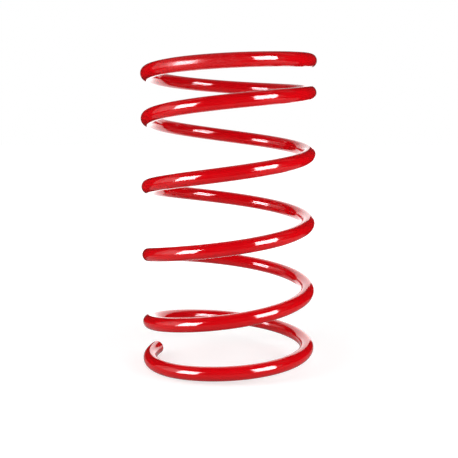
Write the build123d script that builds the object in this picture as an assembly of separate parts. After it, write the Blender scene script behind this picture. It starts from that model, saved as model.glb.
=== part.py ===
from build123d import *
import math
import os

# A suspension coil spring for a car: one round steel bar, wound as a right-hand helix and powder-coated.
#
# The bar is divided at flat cuts square to it, one every quarter turn, into short rigid lengths.
# A coil spring works by the twist of its bar, so at each cut one length turns on the next about the
# bar's own centre line. The two cut faces are equal circles on that line, and they stay together.
# Beside each cut the bar is straight for a moment, so its round side is a plain cylinder on that line.
#
# Millimetres, +Z up. The origin is on the coil's axis, level with the spring's lowest point.
# "Turns" are counted along the bar from its lower tip. Front is -Y and right is +X.

# The bar and the coil
bar_diameter = 12.2  # a 12 mm bar with its coat
coil_mean_radius = 70.3  # from the coil's axis to the middle of the bar
total_turns = 5.565
lower_tip_angle = 160.0  # degrees from +X, seen from above
tip_straight = 2.5  # the bar's last stretch at each cut tip
tip_edge_radius = 0.8  # rounding of the edge of each cut tip

# The pitch, in mm of rise for each turn. It changes smoothly between these places, in turns.
tip_pitch = -21.5  # the lower tip is set up a little, so that the coil rests behind it
lower_pitch = 23.3
body_pitch = 60.0
upper_pitch = 22.6
lower_tail_end = 0.205
lower_change = (0.352, 1.170)
upper_change = (3.670, 5.282)

# The cuts between lengths
first_cut_angle = 225.0  # half way from left to front
lengths_per_turn = 4
cut_straight = 0.5  # the straight stretch on each side of a cut
spans_per_turn = 8  # each span of the centre line is two tangent arcs
sides = ("front", "right", "back", "left")

bar_radius = bar_diameter / 2


def eased_rise(turns, change):
    """The area under a smooth step from 0 to 1, which starts and ends where the change does."""
    start, end = change
    along = (turns - start) / (end - start)
    inside = min(max(along, 0.0), 1.0)
    beyond = max(along - 1.0, 0.0)
    return (end - start) * (inside**3 - inside**4 / 2 + beyond)


def rise(turns):
    """The height of the bar's middle above where it is at the lower tip."""
    tail_left = max(1.0 - turns / lower_tail_end, 0.0)
    tail = (tip_pitch - lower_pitch) * lower_tail_end / 2 * (1.0 - tail_left**2)
    lower = (body_pitch - lower_pitch) * eased_rise(turns, lower_change)
    upper = (upper_pitch - body_pitch) * eased_rise(turns, upper_change)
    return lower_pitch * turns + tail + lower + upper


def eased_step(turns, change):
    """A smooth step from 0 to 1 over the change."""
    start, end = change
    along = min(max((turns - start) / (end - start), 0.0), 1.0)
    return along**2 * (3 - 2 * along)


def pitch(turns):
    """The rise for each turn at a place along the bar."""
    tail = (tip_pitch - lower_pitch) * max(1.0 - turns / lower_tail_end, 0.0)
    lower = (body_pitch - lower_pitch) * eased_step(turns, lower_change)
    upper = (upper_pitch - body_pitch) * eased_step(turns, upper_change)
    return lower_pitch + tail + lower + upper


# The bar is lowest where its pitch passes through zero, and that place touches Z = 0.
lowest_turns = lower_tail_end * tip_pitch / (tip_pitch - lower_pitch)


def angle(turns):
    """The direction from the coil's axis to the bar, in radians from +X."""
    return math.radians(lower_tip_angle + 360.0 * turns)


def centre(turns):
    """The middle of the bar."""
    height = bar_radius + rise(turns) - rise(lowest_turns)
    return Vector(
        coil_mean_radius * math.cos(angle(turns)),
        coil_mean_radius * math.sin(angle(turns)),
        height,
    )


def direction(turns):
    """The way the bar runs, towards the upper tip."""
    around = 2 * math.pi * coil_mean_radius
    return Vector(
        -around * math.sin(angle(turns)),
        around * math.cos(angle(turns)),
        pitch(turns),
    ).normalized()


def tangent_arcs(start_point, start_way, end_point, end_way):
    """Two arcs from one point to another that leave and arrive in the given directions."""
    across = end_point - start_point
    ways = start_way + end_way
    # The arcs' tangents are all one length, so that their corners are twice that apart.
    square = ways.dot(ways) - 4
    linear = -2 * across.dot(ways)
    constant = across.dot(across)
    tangent = (-linear - math.sqrt(linear**2 - 4 * square * constant)) / (2 * square)
    first_corner = start_point + start_way * tangent
    last_corner = end_point - end_way * tangent
    middle = (first_corner + last_corner) / 2
    return [
        TangentArc(start_point, middle, tangent=start_way),
        TangentArc(middle, end_point, tangent=last_corner - first_corner),
    ]


def bar_length(start, end):
    """The solid bar between two places: a straight stretch at each end and arcs between them."""
    spans = math.ceil(round((end - start) * spans_per_turn, 3))
    places = [start + (end - start) * i / spans for i in range(spans + 1)]
    points = [centre(place) for place in places]
    ways = [direction(place) for place in places]
    points[0] += ways[0] * cut_straight
    points[-1] -= ways[-1] * cut_straight
    path = [Line(centre(start), points[0])]
    for i in range(spans):
        path += tangent_arcs(points[i], ways[i], points[i + 1], ways[i + 1])
    path.append(Line(points[-1], centre(end)))
    section = Plane(origin=centre(start), z_dir=direction(start)) * Circle(bar_radius)
    return sweep(section, path=Wire(path))


def straight_tip(turns, way):
    """The straight stretch that ends the bar, with the edge of its cut face rounded."""
    base = Plane(origin=centre(turns), z_dir=way)
    stub = extrude(base * Circle(bar_radius), tip_straight)
    rim = stub.faces().sort_by(Axis(base.origin, way))[-1].edges()
    return fillet(rim, tip_edge_radius)


def cuts():
    """Where the bar is divided, in turns."""
    first = (first_cut_angle - lower_tip_angle) / 360.0
    count = math.floor((total_turns - first) * lengths_per_turn) + 1
    return [first + i / lengths_per_turn for i in range(count)]


def names():
    """The lengths' names, from the bottom up."""
    quarters = [
        f"coil_{i // lengths_per_turn + 1}_{sides[i % lengths_per_turn]}"
        for i in range(len(cuts()) - 1)
    ]
    return ["bottom_tail", *quarters, "top_tail"]


def build():
    """Every length of the bar, by name."""
    tip_turns = tip_straight / (2 * math.pi * coil_mean_radius)
    first, last = tip_turns, total_turns - tip_turns
    places = [first, *cuts(), last]
    solids = {
        name: bar_length(start, end)
        for name, start, end in zip(names(), places, places[1:])
    }
    solids["bottom_tail"] += straight_tip(first, -direction(first))
    solids["top_tail"] += straight_tip(last, direction(last))
    return solids


def main():
    os.makedirs("parts", exist_ok=True)
    for name, solid in build().items():
        export_step(solid, f"parts/{name}.step")


if __name__ == "__main__":
    main()
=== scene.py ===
import bpy
import math
import numpy as np
from mathutils import Euler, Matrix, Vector


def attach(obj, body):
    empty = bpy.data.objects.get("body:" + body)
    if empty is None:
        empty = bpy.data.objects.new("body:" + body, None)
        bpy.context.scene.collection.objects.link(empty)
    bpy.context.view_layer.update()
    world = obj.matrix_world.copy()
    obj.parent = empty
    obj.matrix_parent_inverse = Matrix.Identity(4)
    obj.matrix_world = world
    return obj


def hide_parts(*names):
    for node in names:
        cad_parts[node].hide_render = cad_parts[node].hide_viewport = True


# A suspension coil spring: one round steel bar, wound as a right-hand helix, with a gloss red powder coat.
# Metres, +Z up. The coil's axis is Z, -Y is the front, and the floor is at Z = 0.
# "Turns" are counted along the bar from its lower tip.

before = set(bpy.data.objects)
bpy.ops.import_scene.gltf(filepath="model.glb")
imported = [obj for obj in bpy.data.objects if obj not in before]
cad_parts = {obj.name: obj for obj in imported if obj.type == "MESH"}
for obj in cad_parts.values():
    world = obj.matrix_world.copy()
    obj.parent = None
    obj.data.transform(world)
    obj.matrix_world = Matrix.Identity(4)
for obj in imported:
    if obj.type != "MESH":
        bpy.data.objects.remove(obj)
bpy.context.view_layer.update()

MM = 0.001
BAR_RADIUS = 6.1 * MM
MEAN_RADIUS = 70.3 * MM
TOTAL_TURNS = 5.565
LOWER_TIP_ANGLE = 160.0
TIP_STRAIGHT = 2.5 * MM
TIP_EDGE_RADIUS = 0.8 * MM
TIP_PITCH = -21.5 * MM
LOWER_PITCH = 23.3 * MM
BODY_PITCH = 60.0 * MM
UPPER_PITCH = 22.6 * MM
LOWER_TAIL_END = 0.205
LOWER_CHANGE = (0.352, 1.170)
UPPER_CHANGE = (3.670, 5.282)
FIRST_CUT_ANGLE = 225.0
CUT_COUNT = 22
LENGTHS_PER_TURN = 4
SIDES = ("front", "right", "back", "left")

AROUND = 64  # faces around the bar
RINGS_PER_TURN = 176
TIP_STRAIGHT_RINGS = 3
TIP_BEND_RINGS = 8
FACE_RINGS = 8  # rings on each cut tip, between its rim and its middle
CUT_DISH = 0.05 * MM  # how far the smooth part of a tip's face stands back
TORN_DISH = 0.07 * MM  # how much further its torn part does
TORN_GRAIN = 0.022 * MM
FACE_WEAR = 0.35  # how thin the film is on the tips' faces, where 1 is their rounded edge
FIT = 0.02 * MM  # the drawn bar is this much slimmer than the solid
CUT_GAP = 0.005 * MM  # each cut face stands back by this, so that the two never rub


# The bar's centre line

def eased_rise(turns, change):
    start, end = change
    along = (turns - start) / (end - start)
    inside = np.clip(along, 0.0, 1.0)
    beyond = np.maximum(along - 1.0, 0.0)
    return (end - start) * (inside**3 - inside**4 / 2 + beyond)


def rise(turns):
    tail_left = np.maximum(1.0 - turns / LOWER_TAIL_END, 0.0)
    tail = (TIP_PITCH - LOWER_PITCH) * LOWER_TAIL_END / 2 * (1.0 - tail_left**2)
    lower = (BODY_PITCH - LOWER_PITCH) * eased_rise(turns, LOWER_CHANGE)
    upper = (UPPER_PITCH - BODY_PITCH) * eased_rise(turns, UPPER_CHANGE)
    return LOWER_PITCH * turns + tail + lower + upper


def eased_step(turns, change):
    start, end = change
    along = np.clip((turns - start) / (end - start), 0.0, 1.0)
    return along**2 * (3 - 2 * along)


def pitch(turns):
    tail = (TIP_PITCH - LOWER_PITCH) * np.maximum(1.0 - turns / LOWER_TAIL_END, 0.0)
    lower = (BODY_PITCH - LOWER_PITCH) * eased_step(turns, LOWER_CHANGE)
    upper = (UPPER_PITCH - BODY_PITCH) * eased_step(turns, UPPER_CHANGE)
    return LOWER_PITCH + tail + lower + upper


LOWEST_TURNS = LOWER_TAIL_END * TIP_PITCH / (TIP_PITCH - LOWER_PITCH)


def line(turns):
    """Centre, direction, outward way and upward way of the bar at each place."""
    turns = np.atleast_1d(np.asarray(turns, float))
    a = np.radians(LOWER_TIP_ANGLE + 360.0 * turns)
    zero = np.zeros_like(a)
    height = BAR_RADIUS + rise(turns) - rise(LOWEST_TURNS)
    centre = np.stack([MEAN_RADIUS * np.cos(a), MEAN_RADIUS * np.sin(a), height], 1)
    round_ = 2 * math.pi * MEAN_RADIUS
    way = np.stack([-round_ * np.sin(a), round_ * np.cos(a), pitch(turns)], 1)
    way /= np.linalg.norm(way, axis=1, keepdims=True)
    out = np.stack([np.cos(a), np.sin(a), zero], 1)
    up = np.cross(out, way)
    return centre, way, out, up


def ring_rows(start, end):
    """Rings from start to end: centre, outward, upward, along, radius and slope of the skin."""
    count = max(int(round((end - start) * RINGS_PER_TURN)), 2)
    gap = CUT_GAP / (2 * math.pi * MEAN_RADIUS)
    turns = np.linspace(start + gap, end - gap, count + 1)
    centre, way, out, up = line(turns)
    n = len(turns)
    return centre, out, up, way, np.full(n, BAR_RADIUS - FIT), np.zeros(n)


def tip_rows(turns, sign):
    """The straight stretch and rounded edge beyond the last ring, in order away from it."""
    centre, way, out, up = line(turns)
    way = way * sign
    edge = TIP_EDGE_RADIUS
    straight = np.linspace(0, TIP_STRAIGHT - edge, TIP_STRAIGHT_RINGS + 1)[1:]
    bend = np.radians(np.linspace(0, 90, TIP_BEND_RINGS + 1))[1:]
    along = np.concatenate([straight, TIP_STRAIGHT - edge + edge * np.sin(bend)])
    full = np.full(TIP_STRAIGHT_RINGS, BAR_RADIUS)
    radius = np.concatenate([full, BAR_RADIUS - edge + edge * np.cos(bend)]) - FIT
    slope = np.concatenate([np.zeros(TIP_STRAIGHT_RINGS), bend])
    n = len(along)
    return (
        centre + way * along[:, None],
        np.repeat(out, n, 0),
        np.repeat(up, n, 0),
        np.repeat(way, n, 0),
        radius,
        slope,
    )


def sheared_face(centre, out, up, way, radius, phase):
    """Rings of a tip's face, from its rim in: a smooth cut over a third of it, then a torn, dished part."""
    rows = []
    phi = np.linspace(0, 2 * math.pi, AROUND, endpoint=False)
    for share in np.linspace(1.0, 0.0, FACE_RINGS + 2)[1:-1]:
        x = share * radius * np.cos(phi)
        y = share * radius * np.sin(phi)
        torn = 1 / (1 + np.exp(-(y / radius * 6 - 1.2)))
        grain = (
            np.sin(x / MM * 2.3 + phase)
            + np.sin((x * 0.6 + y) / MM * 3.7 + 2 * phase)
            + np.sin((x - y * 1.3) / MM * 5.9 - phase)
        )
        depth = (1 - share**4) * (CUT_DISH + torn * (TORN_DISH + TORN_GRAIN * grain))
        rows.append(centre + x[:, None] * out + y[:, None] * up - depth[:, None] * way)
    return rows, centre - (CUT_DISH + TORN_DISH) * way


def band(outer, inner, flip):
    """Quads between two rings of corners."""
    quads = np.stack([outer, np.roll(outer, -1), np.roll(inner, -1), inner], 1)
    return (quads[:, ::-1] if flip else quads).tolist()


def fan(rim, middle, flip):
    """Triangles from a ring of corners to its middle."""
    tris = np.stack([rim, np.roll(rim, -1), np.full(len(rim), middle)], 1)
    return (tris[:, ::-1] if flip else tris).tolist()


def bar_piece(name, start, end, lower_tip=False, upper_tip=False):
    """One length of the bar, closed at both ends. Its skin's normals are exact, so no line shows at a cut."""
    rows = [ring_rows(start, end)]
    if lower_tip:
        rows.insert(0, tuple(part[::-1] for part in tip_rows(start, -1)))
    if upper_tip:
        rows.append(tip_rows(end, 1))
    centre, out, up, way, radius, slope = (np.concatenate(parts) for parts in zip(*rows))
    rings = len(centre)
    phi = np.linspace(0, 2 * math.pi, AROUND, endpoint=False)
    spoke = np.cos(phi)[None, :, None] * out[:, None] + np.sin(phi)[None, :, None] * up[:, None]
    points = centre[:, None] + spoke * radius[:, None, None]
    tilt = slope[:, None, None]
    normals = spoke * np.cos(tilt) + way[:, None] * np.sin(tilt)

    # the skin
    verts = [points.reshape(-1, 3)]
    wear = [np.repeat(np.clip(slope / (math.pi / 2), 0, 1), AROUND)]
    count = rings * AROUND
    index = np.arange(count).reshape(rings, AROUND)
    beside = np.roll(index, -1, 1)
    quads = np.stack([index[:-1], index[1:], beside[1:], beside[:-1]], -1)
    faces = quads.reshape(-1, 4).tolist()
    skin_corners = 4 * len(faces)

    # the two ends: flat where the bar is divided, sheared at its tips
    hard = set()
    for ring, tip, flip, phase in ((0, lower_tip, False, 0.7), (rings - 1, upper_tip, True, 2.9)):
        rim = index[ring]
        if not tip:
            faces.append((rim[::-1] if flip else rim).tolist())
            hard.update(rim.tolist())
            continue
        inner, middle = sheared_face(
            centre[ring], out[ring], up[ring], way[ring], radius[ring], phase
        )
        for row in inner:
            verts.append(row)
            wear.append(np.full(AROUND, FACE_WEAR))
            new_rim = np.arange(count, count + AROUND)
            faces += band(rim, new_rim, flip)
            rim = new_rim
            count += AROUND
        verts.append(middle[None])
        wear.append(np.full(1, FACE_WEAR))
        faces += fan(rim, count, flip)
        count += 1

    mesh = bpy.data.meshes.new(name)
    mesh.from_pydata(np.concatenate(verts).tolist(), [], faces)
    mesh.update()
    amount = mesh.attributes.new("tip_edge", "FLOAT", "POINT")
    amount.data.foreach_set("value", np.concatenate(wear).astype(np.float32))
    mesh.shade_smooth()
    sharp = mesh.attributes.new("sharp_edge", "BOOLEAN", "EDGE")
    sharp.data.foreach_set("value", [hard.issuperset(edge.vertices) for edge in mesh.edges])

    # a normal of zero length leaves that corner to Blender
    corner = np.empty(len(mesh.loops), int)
    mesh.loops.foreach_get("vertex_index", corner)
    loops = np.zeros((len(corner), 3))
    loops[:skin_corners] = normals.reshape(-1, 3)[corner[:skin_corners]]
    mesh.normals_split_custom_set(loops.tolist())

    piece = bpy.data.objects.new(name, mesh)
    bpy.context.scene.collection.objects.link(piece)
    return piece


# The finish

DEEP_RED = (0.58, 0.0004, 0.0030, 1)
BRIGHT_RED = (0.66, 0.0008, 0.0045, 1)
NIB_RED = (0.30, 0.001, 0.004, 1)
BARE_STEEL = (0.10, 0.016, 0.016, 1)  # with a trace of the film on it
WHITE = (1, 1, 1, 1)

# Where the film is rubbed, on the front of the topmost turn: clear at the first place and full at the second
RUBBED_PATCH = (
    ("X", -0.062, -0.045),
    ("X", 0.022, 0.0),
    ("Y", -0.05, -0.06),
    ("Z", 0.249, 0.254),
)


def new_material(name):
    """A material with nothing in it but its output."""
    material = bpy.data.materials.new(name)
    material.use_nodes = True
    tree = material.node_tree
    tree.nodes.clear()
    return material, tree, add(tree, "ShaderNodeOutputMaterial")


def add(tree, kind, **settings):
    """A node with its inputs or settings by name. In an input's name an underscore stands for a space."""
    node = tree.nodes.new(kind)
    for key, value in settings.items():
        name = key.replace("_", " ")
        if name in node.inputs:
            node.inputs[name].default_value = value
        else:
            setattr(node, key, value)
    return node


def join(tree, source, output, target, entry):
    tree.links.new(source.outputs[output], target.inputs[entry])


def spread(tree, source, output, low, high, to_low=0.0, to_high=1.0, smooth=False):
    """A value moved from one range to another and held inside it."""
    node = add(tree, "ShaderNodeMapRange")
    if smooth:
        node.interpolation_type = "SMOOTHSTEP"
    node.inputs["From Min"].default_value = low
    node.inputs["From Max"].default_value = high
    node.inputs["To Min"].default_value = to_low
    node.inputs["To Max"].default_value = to_high
    join(tree, source, output, node, "Value")
    return node


def arithmetic(tree, operation, first, second):
    """One sum or product. Each side is a node's output, or a plain number."""
    node = add(tree, "ShaderNodeMath", operation=operation)
    for entry, side in enumerate((first, second)):
        if isinstance(side, tuple):
            join(tree, *side, node, entry)
        else:
            node.inputs[entry].default_value = side
    return node


def film_colour(tree, where):
    """Red that drifts slowly with the film's depth and is finely mottled."""
    drift = add(tree, "ShaderNodeTexNoise", Scale=38.0, Detail=3.0, Roughness=0.5)
    mottle = add(tree, "ShaderNodeTexNoise", Scale=900.0, Detail=3.0, Roughness=0.6)
    blend = add(tree, "ShaderNodeMix", data_type="FLOAT")
    blend.inputs["Factor"].default_value = 0.3
    ramp = add(tree, "ShaderNodeValToRGB")
    low, high = ramp.color_ramp.elements
    low.position, low.color = 0.30, DEEP_RED
    high.position, high.color = 0.70, BRIGHT_RED
    for texture in (drift, mottle):
        join(tree, where, "Object", texture, "Vector")
    join(tree, drift, "Fac", blend, "A")
    join(tree, mottle, "Fac", blend, "B")
    join(tree, blend, "Result", ramp, "Fac")
    return ramp


def with_nibs(tree, where, below):
    """Sparse fine specks under the gloss."""
    specks = add(tree, "ShaderNodeTexVoronoi", Scale=420.0, Randomness=1.0)
    join(tree, where, "Object", specks, "Vector")
    pick = add(tree, "ShaderNodeSeparateColor")
    join(tree, specks, "Color", pick, "Color")
    rare = arithmetic(tree, "GREATER_THAN", (pick, "Red"), 0.965)
    near = spread(tree, specks, "Distance", 0.30, 0.05)
    nib = arithmetic(tree, "MULTIPLY", (rare, "Value"), (near, "Result"))
    share = arithmetic(tree, "MULTIPLY", (nib, "Value"), 0.25)
    nibbed = add(tree, "ShaderNodeMix", data_type="RGBA")
    nibbed.inputs["B"].default_value = NIB_RED
    join(tree, share, "Value", nibbed, "Factor")
    join(tree, below, "Color", nibbed, "A")
    return nibbed


def with_worn_tips(tree, where, below):
    """The film thins at the tips' edges and over their faces, and dark steel shows through in places."""
    edge = add(tree, "ShaderNodeAttribute", attribute_name="tip_edge")
    chips = add(tree, "ShaderNodeTexNoise", Scale=1500.0, Detail=4.0, Roughness=0.65)
    join(tree, where, "Object", chips, "Vector")
    worn = arithmetic(tree, "MULTIPLY", (edge, "Fac"), (chips, "Fac"))
    thin = spread(tree, worn, "Value", 0.36, 0.52)
    colour = add(tree, "ShaderNodeMix", data_type="RGBA")
    colour.inputs["B"].default_value = BARE_STEEL
    join(tree, thin, "Result", colour, "Factor")
    join(tree, below, "Result", colour, "A")
    return colour


def uneven_gloss(tree, where, skin):
    """Gloss that is slightly hazy here and there, and rubbed in streaks along the bar in one patch."""
    haze = add(tree, "ShaderNodeTexNoise", Scale=120.0, Detail=3.0, Roughness=0.55)
    join(tree, where, "Object", haze, "Vector")
    rough = spread(tree, haze, "Fac", 0.0, 1.0, 0.24, 0.42)
    join(tree, rough, "Result", skin, "Roughness")
    film_haze = spread(tree, haze, "Fac", 0.0, 1.0, 0.06, 0.12)

    place = add(tree, "ShaderNodeSeparateXYZ")
    join(tree, where, "Object", place, "Vector")
    patch = 1.0
    for way, clear, full in RUBBED_PATCH:
        side = spread(tree, place, way, clear, full, smooth=True)
        inside = arithmetic(tree, "MULTIPLY", patch, (side, "Result"))
        patch = (inside, "Value")
    stretch = add(tree, "ShaderNodeMapping")
    stretch.inputs["Scale"].default_value = (0.07, 1.0, 1.0)
    join(tree, where, "Object", stretch, "Vector")
    streak = add(tree, "ShaderNodeTexNoise", Scale=2600.0, Detail=3.0, Roughness=0.7)
    join(tree, stretch, "Vector", streak, "Vector")
    rub = spread(tree, streak, "Fac", 0.38, 0.58, 0.0, 0.24)
    rubbed = arithmetic(tree, "MULTIPLY", (rub, "Result"), patch)
    coat_rough = arithmetic(tree, "ADD", (film_haze, "Result"), (rubbed, "Value"))
    join(tree, coat_rough, "Value", skin, "Coat Roughness")


def relief(tree, where, skin):
    """Peened steel under the film, and orange peel in the film."""
    peel = add(tree, "ShaderNodeTexNoise", Scale=420.0, Detail=2.0, Roughness=0.45)
    wave = add(tree, "ShaderNodeTexNoise", Scale=110.0, Detail=1.0, Roughness=0.4)
    peen = add(tree, "ShaderNodeTexVoronoi", feature="SMOOTH_F1", Scale=900.0, Smoothness=0.6)
    for texture in (peel, wave, peen):
        join(tree, where, "Object", texture, "Vector")
    film = add(tree, "ShaderNodeBump", Strength=0.26, Distance=0.00002)
    swell = add(tree, "ShaderNodeBump", Strength=0.09, Distance=0.00004)
    under = add(tree, "ShaderNodeBump", Strength=0.15, Distance=0.00002)
    join(tree, peen, "Distance", under, "Height")
    join(tree, wave, "Fac", swell, "Height")
    join(tree, peel, "Fac", film, "Height")
    join(tree, swell, "Normal", film, "Normal")
    join(tree, film, "Normal", under, "Normal")
    join(tree, film, "Normal", skin, "Coat Normal")
    join(tree, under, "Normal", skin, "Normal")


def powder_coat():
    """Gloss red powder coat: a matt red under a clear, glossy film."""
    material, tree, out = new_material("powder_coat_red")
    skin = add(tree, "ShaderNodeBsdfPrincipled", IOR=1.5, Coat_Weight=1.0, Coat_IOR=1.5)
    skin.inputs["Specular IOR Level"].default_value = 0.0
    where = add(tree, "ShaderNodeTexCoord")
    nibbed = with_nibs(tree, where, film_colour(tree, where))
    colour = with_worn_tips(tree, where, nibbed)
    join(tree, colour, "Result", skin, "Base Color")
    uneven_gloss(tree, where, skin)
    relief(tree, where, skin)
    join(tree, skin, "BSDF", out, "Surface")
    return material


coat = powder_coat()

first_cut = (FIRST_CUT_ANGLE - LOWER_TIP_ANGLE) / 360.0
tip_turns = TIP_STRAIGHT / (2 * math.pi * MEAN_RADIUS)
cuts = [first_cut + i / LENGTHS_PER_TURN for i in range(CUT_COUNT)]
places = [tip_turns, *cuts, TOTAL_TURNS - tip_turns]
quarters = [
    f"coil_{i // LENGTHS_PER_TURN + 1}_{SIDES[i % LENGTHS_PER_TURN]}" for i in range(CUT_COUNT - 1)
]
lengths = ["bottom_tail", *quarters, "top_tail"]
for node, start, end in zip(lengths, places, places[1:]):
    piece = bar_piece(
        node + "_bar", start, end, lower_tip=node == lengths[0], upper_tip=node == lengths[-1]
    )
    piece.data.materials.append(coat)
    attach(piece, node)
    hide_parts(node)


# The studio

COIL_MIDDLE = Vector((0, 0, 0.137))
SOFTBOX_TINT = (1.0, 0.95, 1.0)
FLOOR_SIZE = 30.0
FLOOR_ALBEDO = 0.55
FLOOR_GLOW_NEAR = 0.63
FLOOR_GLOW_FAR = 1.0
ROOM_SEEN = 1.0  # the room's brightness to the camera
ROOM_FILL = 0.28  # what it gives the red
ROOM_GLOSS = 0.025  # what the gloss shows of it

# name, azimuth, elevation, distance, width, height, radiance. Azimuth 0 is the front, and 90 the right.
# The gloss shows the first two, and the red is lit by the others.
GLOSS_BOXES = (
    ("gloss_left", -56, 10, 1.06, 0.57, 0.74, 26),
    ("gloss_right", 47, 17, 1.06, 0.56, 0.84, 26),
)
MATT_BOXES = (
    ("key_left", -65, 5, 0.7, 0.40, 0.60, 5.6),
    ("key_right", 60, 5, 0.7, 0.40, 0.60, 5.6),
    ("top", 0, 89, 1.8, 1.6, 1.6, 0.35),
    ("back", 180, 5, 0.9, 0.8, 0.8, 1.1),
    ("front", 0, 0, 0.42, 0.30, 0.36, 1.15),
)

# Cards that only the gloss shows, each from one corner to the opposite one, with its radiance: white close
# behind the coil and black on both sides of it, a pale strip of table there, a pale wall and a dim ceiling.
CARDS = (
    ("card_behind", (-0.10, 0.20, 0.0), (0.150, 0.20, 0.18), 2.2),
    ("card_middle", (-0.10, 0.20, 0.18), (0.126, 0.20, 0.24), 2.2),
    ("card_upper", (-0.10, 0.20, 0.24), (0.10, 0.20, 0.31), 1.6),
    ("card_top", (-0.10, 0.20, 0.31), (0.09, 0.20, 0.36), 0.9),
    ("card_above", (-0.05, 0.20, 0.36), (0.08, 0.20, 0.62), 0.45),
    ("black_left", (-0.62, 0.20, 0.0), (-0.10, 0.20, 0.50), 0.02),
    ("black_right", (0.150, 0.20, 0.0), (1.00, 0.20, 0.75), 0.02),
    ("table_behind", (-0.12, 0.08, 0.0005), (0.10, 0.20, 0.0005), 0.8),
    ("wall_left", (-0.90, -0.35, 0.04), (-0.90, 0.06, 0.72), 1.4),
    ("wall_left_far", (-0.90, 0.06, 0.04), (-0.90, 0.50, 0.80), 0.65),
    ("ceiling", (-1.5, 0.0, 1.3), (1.5, 1.8, 1.3), 0.2),
)
TABLE_LOW = (-0.55, -0.45, 0.0)
TABLE_HIGH = (0.62, 0.20, 0.0)
TABLE_GLOW = 0.33  # at its middle. Its front edge is dark, and it brightens towards its front corners


def plain_floor():
    """A pale floor. It fades to white a little way from the coil, and keeps a soft contact shadow."""
    material, tree, out = new_material("floor_white")
    matt = add(tree, "ShaderNodeBsdfDiffuse", Color=(FLOOR_ALBEDO, FLOOR_ALBEDO, FLOOR_ALBEDO, 1))
    glow = add(tree, "ShaderNodeEmission", Color=WHITE)
    where = add(tree, "ShaderNodeTexCoord")
    far = add(tree, "ShaderNodeVectorMath", operation="LENGTH")
    join(tree, where, "Object", far, 0)
    level = spread(tree, far, "Value", 0.12, 0.9, FLOOR_GLOW_NEAR, FLOOR_GLOW_FAR, smooth=True)
    ray = add(tree, "ShaderNodeLightPath")
    shown = arithmetic(tree, "MULTIPLY", (level, "Result"), (ray, "Is Camera Ray"))
    join(tree, shown, "Value", glow, "Strength")
    both = add(tree, "ShaderNodeAddShader")
    join(tree, matt, 0, both, 0)
    join(tree, glow, 0, both, 1)
    join(tree, both, "Shader", out, "Surface")
    return material


def card_light(name, radiance):
    """A card's even light."""
    material, tree, out = new_material(name)
    light = add(tree, "ShaderNodeEmission", Color=WHITE, Strength=radiance)
    join(tree, light, "Emission", out, "Surface")
    return material


def table_light():
    """The table's light: dark at its front edge, and brighter towards its front corners."""
    material, tree, out = new_material("table")
    light = add(tree, "ShaderNodeEmission", Color=WHITE)
    where = add(tree, "ShaderNodeTexCoord")
    place = add(tree, "ShaderNodeSeparateXYZ")
    join(tree, where, "Object", place, "Vector")
    fade = spread(tree, place, "Y", -0.43, -0.24, smooth=True)
    near = spread(tree, place, "Y", 0.05, -0.20, 0.0, 3.0, smooth=True)
    square = arithmetic(tree, "MULTIPLY", (place, "X"), (place, "X"))
    corners = arithmetic(tree, "MULTIPLY", (square, "Value"), (near, "Result"))
    lit = arithmetic(tree, "ADD", (corners, "Value"), TABLE_GLOW)
    shown = arithmetic(tree, "MULTIPLY", (lit, "Value"), (fade, "Result"))
    join(tree, shown, "Value", light, "Strength")
    join(tree, light, "Emission", out, "Surface")
    return material


def card(name, low, high, material):
    """A flat upright or level card between two opposite corners, which only the gloss shows."""
    if low[2] == high[2]:
        corners = [low, (high[0], low[1], low[2]), high, (low[0], high[1], high[2])]
    else:
        corners = [low, (high[0], high[1], low[2]), high, (low[0], low[1], high[2])]
    mesh = bpy.data.meshes.new(name)
    mesh.from_pydata(corners, [], [(0, 1, 2, 3)])
    mesh.materials.append(material)
    obj = bpy.data.objects.new(name, mesh)
    obj.visible_camera = False
    obj.visible_diffuse = False
    obj.visible_shadow = False
    obj.visible_transmission = False
    bpy.context.scene.collection.objects.link(obj)


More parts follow.
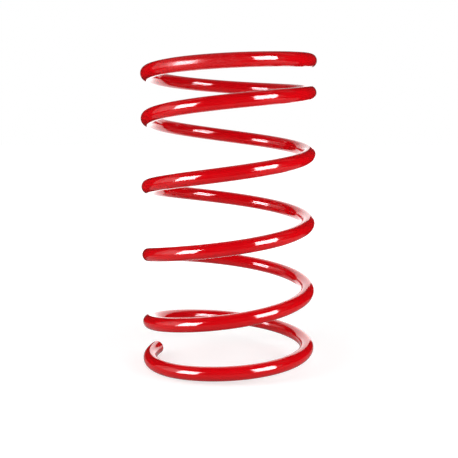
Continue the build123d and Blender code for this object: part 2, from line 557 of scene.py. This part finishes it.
def softbox(name, azimuth, elevation, distance, width, height, radiance):
    """A rectangular light that faces the coil's middle and isn't seen itself."""
    a, e = math.radians(azimuth), math.radians(elevation)
    way = Vector((math.sin(a) * math.cos(e), -math.cos(a) * math.cos(e), math.sin(e)))
    data = bpy.data.lights.new(name, "AREA")
    data.shape = "RECTANGLE"
    data.size, data.size_y = width, height
    data.energy = radiance * math.pi * width * height
    light = bpy.data.objects.new(name, data)
    light.location = COIL_MIDDLE + distance * way
    light.rotation_euler = (-way).to_track_quat("-Z", "Y").to_euler()
    light.visible_camera = False
    bpy.context.scene.collection.objects.link(light)
    return light


def room():
    """White to the camera, an even fill for the red, and nearly dark for the gloss."""
    world = bpy.data.worlds.new("studio")
    world.use_nodes = True
    tree = world.node_tree
    tree.nodes.clear()
    out = add(tree, "ShaderNodeOutputWorld")
    gloss, seen, fill = (
        add(tree, "ShaderNodeBackground", Color=WHITE, Strength=strength)
        for strength in (ROOM_GLOSS, ROOM_SEEN, ROOM_FILL)
    )
    ray = add(tree, "ShaderNodeLightPath")
    for_gloss = add(tree, "ShaderNodeMixShader")
    join(tree, ray, "Is Glossy Ray", for_gloss, 0)
    join(tree, fill, 0, for_gloss, 1)
    join(tree, gloss, 0, for_gloss, 2)
    for_camera = add(tree, "ShaderNodeMixShader")
    join(tree, ray, "Is Camera Ray", for_camera, 0)
    join(tree, for_gloss, 0, for_camera, 1)
    join(tree, seen, 0, for_camera, 2)
    join(tree, for_camera, "Shader", out, "Surface")
    return world


bpy.ops.mesh.primitive_plane_add(size=FLOOR_SIZE, location=(0, 0, 0))
floor = bpy.context.object
floor.name = "floor"
floor.data.materials.append(plain_floor())
floor.visible_glossy = False

for box in GLOSS_BOXES:
    light = softbox(*box)
    light.data.color = SOFTBOX_TINT
    light.visible_diffuse = False
for box in MATT_BOXES:
    softbox(*box).visible_glossy = False
for name, low, high, radiance in CARDS:
    card(name, low, high, card_light(name, radiance))
card("table", TABLE_LOW, TABLE_HIGH, table_light())

scene = bpy.context.scene
scene.world = room()
scene.view_settings.view_transform = "Standard"
scene.view_settings.look = "None"

# The camera looks a little down on the coil from in front
camera_data = bpy.data.cameras.new("camera")
camera_data.sensor_width = 36.0
camera_data.lens = 64.03
camera_data.shift_x = 0.0013
camera = bpy.data.objects.new("camera", camera_data)
camera.location = (0, -0.7192, 0.2034)
camera.rotation_euler = Euler((math.radians(90 - 6.55), 0, 0))
scene.collection.objects.link(camera)
scene.camera = camera
